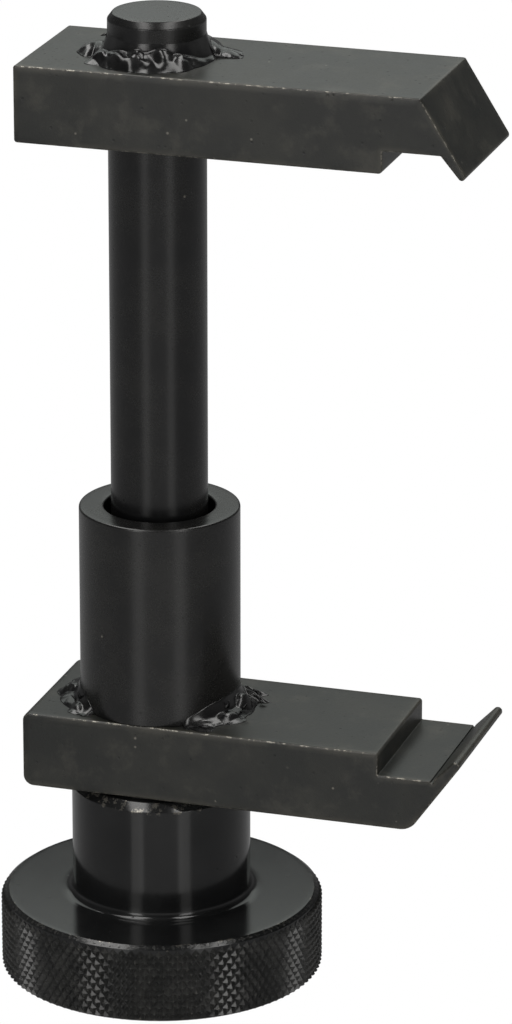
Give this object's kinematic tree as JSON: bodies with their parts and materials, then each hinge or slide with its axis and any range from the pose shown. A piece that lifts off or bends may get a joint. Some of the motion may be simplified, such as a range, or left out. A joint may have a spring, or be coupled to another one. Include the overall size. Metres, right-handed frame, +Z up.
{
  "type": "camshaft alignment tool",
  "caption": "Screw clamp with two parallel hooked bar jaws on a round spindle; a knurled knob slides the sleeved lower jaw towards the fixed upper jaw to line up camshaft parts.",
  "frame": {"origin": "where the screw axis meets the underside of the knurled knob, the face the tool stands on", "axes": "+Z up along the spindle and screw axis from knob to upper jaw; +X along both jaws from the spindle towards their hooked ends; +Y completes the right-handed frame"},
  "size_m": [0.0774, 0.0506, 0.1545],
  "materials": {
    "ground_steel": "black oxide on smooth ground bar, semi-gloss with an oil film",
    "bar_steel": "black oxide on rolled flat bar, satin dark grey-brown with pits and rubbed edges",
    "tube_steel": "black oxide on drawn tube, semi-gloss",
    "weld_metal": "black oxide over rippled weld beads, glossy",
    "washer_steel": "black oxide, dull",
    "knob_steel": "black oxide on turned steel, glossy, diamond knurl with bright tips"
  },
  "bodies": {
    "spindle": {"spindle_rod": "ground_steel", "upper_arm": "bar_steel", "upper_arm_weld": "weld_metal"},
    "washer": {"thrust_washer": "washer_steel"},
    "lower_jaw": {"lower_arm": "bar_steel", "sleeve": "tube_steel", "sleeve_weld_left": "weld_metal", "sleeve_weld_right": "weld_metal"},
    "knob": {"clamp_knob": "knob_steel"}
  },
  "joints": [
    {"name": "clamp_travel", "type": "slide", "parent": "spindle", "child": "washer", "axis": [0, 0, 1], "range_m": [-0.012, 0.03]},
    {"name": "knob_turn", "type": "hinge", "parent": "washer", "child": "knob", "pos_m": [0, 0, 0], "axis": [0, 0, 1], "range_deg": [-2160, 5400]},
    {"name": "jaw_swivel", "type": "hinge", "parent": "washer", "child": "lower_jaw", "pos_m": [0, 0, 0.038], "axis": [0, 0, 1], "continuous": true}
  ],
  "couplings": [
    {"joint": "clamp_travel", "follows": "knob_turn", "m_per_rad": 0.0003183}
  ]
}
